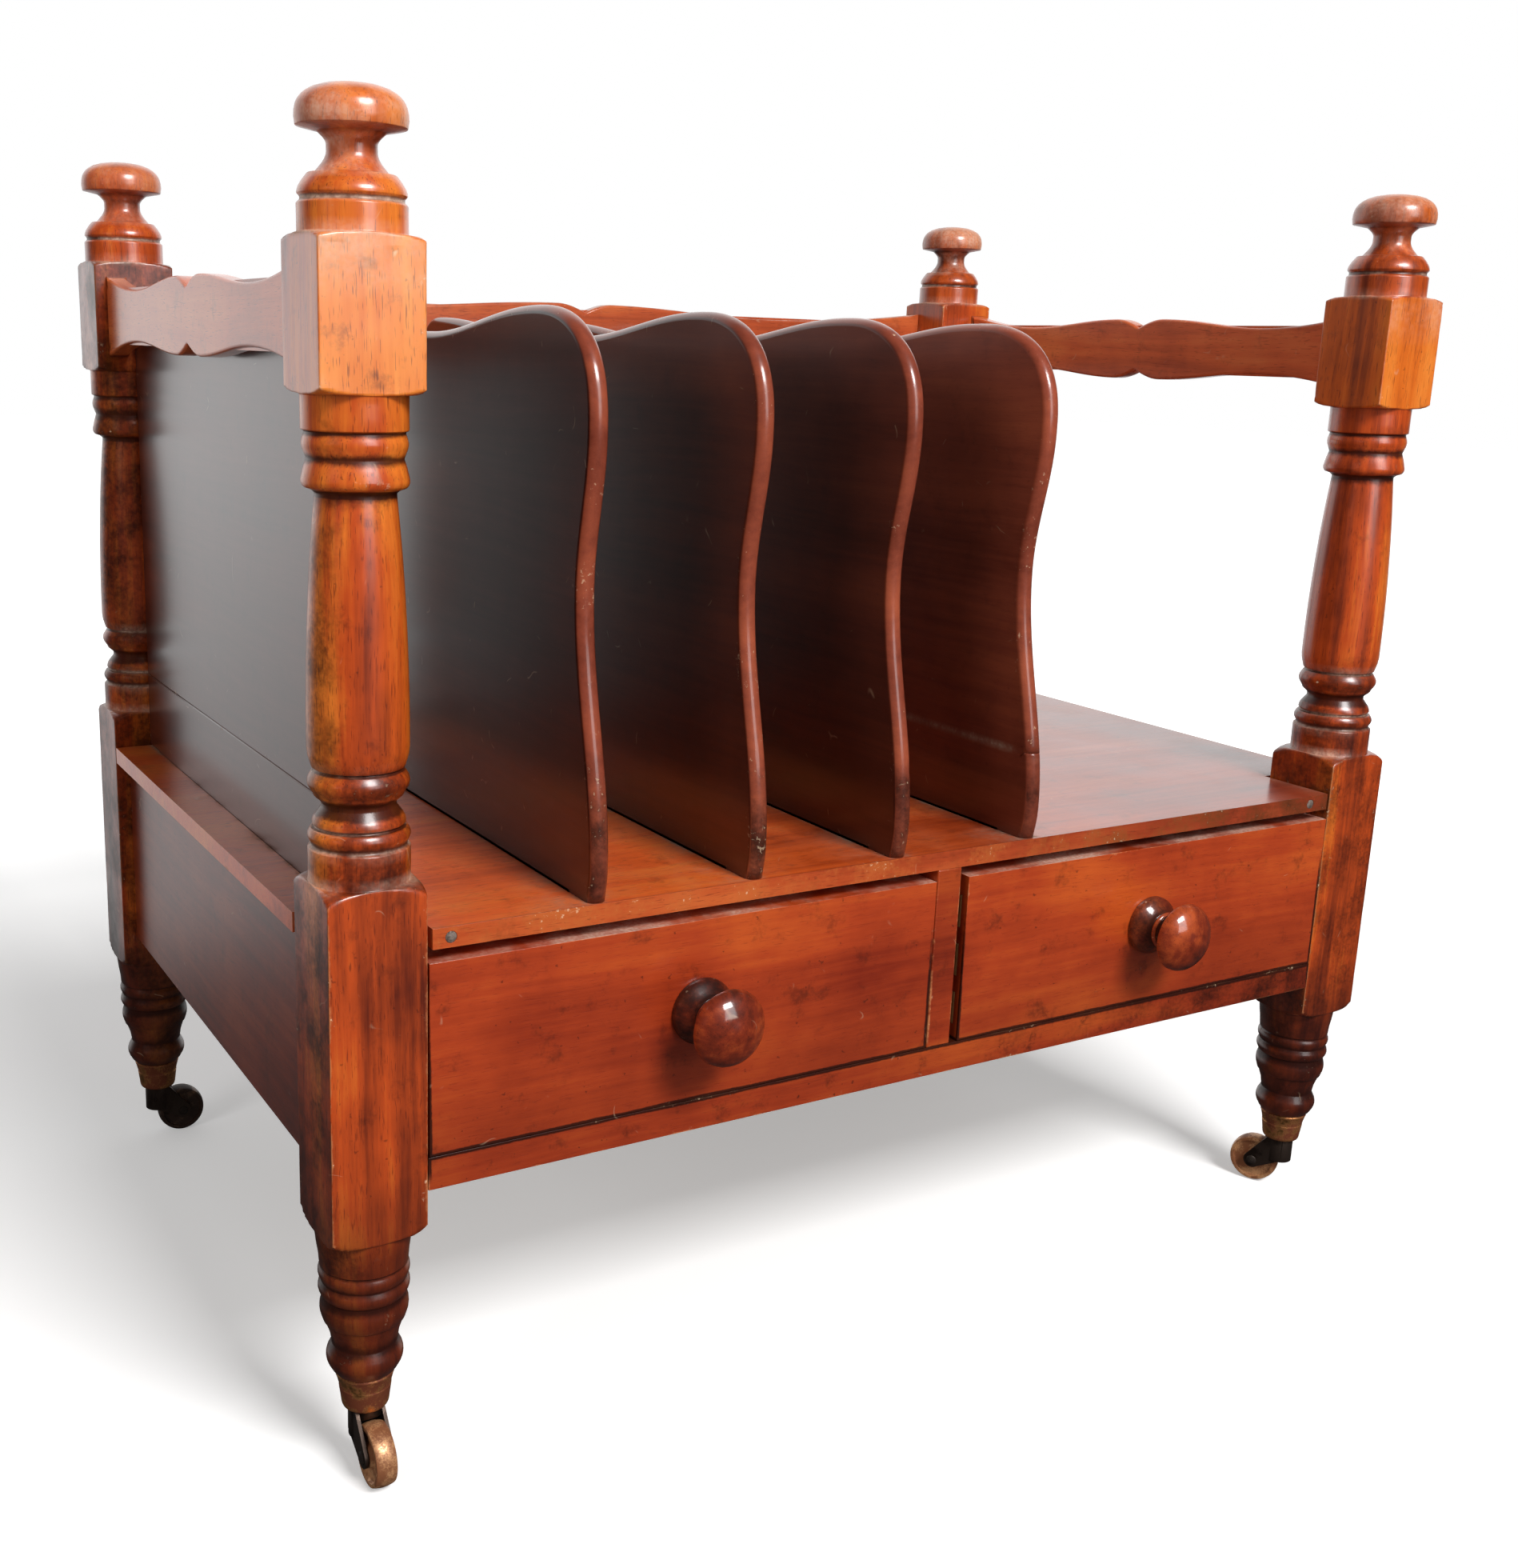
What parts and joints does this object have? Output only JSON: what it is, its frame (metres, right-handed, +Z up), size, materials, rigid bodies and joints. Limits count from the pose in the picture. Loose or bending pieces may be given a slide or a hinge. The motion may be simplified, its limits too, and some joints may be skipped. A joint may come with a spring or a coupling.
{
  "type": "canterbury",
  "caption": "Free-standing rack with upright dividers over drawers, turned corner posts and swivel casters.",
  "frame": {"origin": "middle of the overall box on the floor under the casters, the knobs' reach in front counted", "axes": "+Z up, +X to the right of someone facing the drawers, -Y towards that person"},
  "size_m": [0.562, 0.397, 0.5165],
  "materials": {
    "post_mahogany": "worn French polish, turned and square",
    "rail_mahogany": "worn French polish",
    "apron_mahogany": "dull polish with dust",
    "front_mahogany": "glossy red French polish",
    "divider_mahogany": "dark old polish with worn edges",
    "panel_mahogany": "polished, with a glued lower board",
    "deck_mahogany": "worn polish with dust in the corners",
    "knob_mahogany": "glossy dark polish",
    "drawer_oak": "bare, darkened by age",
    "carcase_pine": "bare, darkened by age",
    "caster_brass": "tarnished, rubbed bright in places",
    "wheel_brass": "tarnished tread, rubbed",
    "fork_brass": "almost black with tarnish",
    "axle_iron": "dark, riveted ends",
    "nail_iron": "dark flat heads"
  },
  "bodies": {
    "frame": {"post_front_left": "post_mahogany", "post_front_right": "post_mahogany", "post_back_left": "post_mahogany", "post_back_right": "post_mahogany", "deck": "deck_mahogany", "rail_left": "rail_mahogany", "rail_right": "rail_mahogany", "rail_back": "rail_mahogany", "apron_left": "apron_mahogany", "apron_right": "apron_mahogany", "apron_back": "apron_mahogany", "drawer_rail": "front_mahogany", "drawer_stile": "front_mahogany", "runner_left": "carcase_pine", "runner_right": "carcase_pine", "runner_centre": "carcase_pine", "guide_left": "carcase_pine", "guide_right": "carcase_pine", "guide_centre": "carcase_pine", "divider_1": "divider_mahogany", "divider_2": "divider_mahogany", "divider_3": "divider_mahogany", "divider_4": "divider_mahogany", "divider_foot_board": "divider_mahogany", "end_panel_upper": "panel_mahogany", "end_panel_lower": "panel_mahogany", "deck_nails": "nail_iron", "caster_cup_front_left": "caster_brass", "caster_cup_front_right": "caster_brass", "caster_cup_back_left": "caster_brass", "caster_cup_back_right": "caster_brass"},
    "drawer_left": {"drawer_left_front": "front_mahogany", "drawer_left_side_left": "drawer_oak", "drawer_left_side_right": "drawer_oak", "drawer_left_back": "drawer_oak", "drawer_left_bottom": "carcase_pine", "knob_left": "knob_mahogany"},
    "drawer_right": {"drawer_right_front": "front_mahogany", "drawer_right_side_left": "drawer_oak", "drawer_right_side_right": "drawer_oak", "drawer_right_back": "drawer_oak", "drawer_right_bottom": "carcase_pine", "knob_right": "knob_mahogany"},
    "caster_front_left": {"caster_fork_front_left": "fork_brass", "caster_axle_front_left": "axle_iron"},
    "wheel_front_left": {"caster_wheel_front_left": "wheel_brass"},
    "caster_front_right": {"caster_fork_front_right": "fork_brass", "caster_axle_front_right": "axle_iron"},
    "wheel_front_right": {"caster_wheel_front_right": "wheel_brass"},
    "caster_back_left": {"caster_fork_back_left": "fork_brass", "caster_axle_back_left": "axle_iron"},
    "wheel_back_left": {"caster_wheel_back_left": "wheel_brass"},
    "caster_back_right": {"caster_fork_back_right": "fork_brass", "caster_axle_back_right": "axle_iron"},
    "wheel_back_right": {"caster_wheel_back_right": "wheel_brass"}
  },
  "joints": [
    {"name": "drawer_left_slide", "type": "slide", "parent": "frame", "child": "drawer_left", "axis": [0, -1, 0], "range_m": [0, 0.24]},
    {"name": "drawer_right_slide", "type": "slide", "parent": "frame", "child": "drawer_right", "axis": [0, -1, 0], "range_m": [0, 0.24]},
    {"name": "caster_front_left_swivel", "type": "hinge", "parent": "frame", "child": "caster_front_left", "pos_m": [-0.262, -0.1495, 0.0285], "axis": [0, 0, 1], "continuous": true},
    {"name": "wheel_front_left_spin", "type": "hinge", "parent": "caster_front_left", "child": "wheel_front_left", "pos_m": [-0.262, -0.1615, 0.0125], "axis": [1, 0, 0], "continuous": true},
    {"name": "caster_front_right_swivel", "type": "hinge", "parent": "frame", "child": "caster_front_right", "pos_m": [0.262, -0.1495, 0.0285], "axis": [0, 0, 1], "continuous": true},
    {"name": "wheel_front_right_spin", "type": "hinge", "parent": "caster_front_right", "child": "wheel_front_right", "pos_m": [0.25693, -0.13862, 0.0125], "axis": [-0.9063, -0.4226, 0], "continuous": true},
    {"name": "caster_back_left_swivel", "type": "hinge", "parent": "frame", "child": "caster_back_left", "pos_m": [-0.262, 0.1785, 0.0285], "axis": [0, 0, 1], "continuous": true},
    {"name": "wheel_back_left_spin", "type": "hinge", "parent": "caster_back_left", "child": "wheel_back_left", "pos_m": [-0.25, 0.1785, 0.0125], "axis": [0, 1, 0], "continuous": true},
    {"name": "caster_back_right_swivel", "type": "hinge", "parent": "frame", "child": "caster_back_right", "pos_m": [0.262, 0.1785, 0.0285], "axis": [0, 0, 1], "continuous": true},
    {"name": "wheel_back_right_spin", "type": "hinge", "parent": "caster_back_right", "child": "wheel_back_right", "pos_m": [0.25161, 0.1845, 0.0125], "axis": [-0.5, -0.866, 0], "continuous": true}
  ]
}
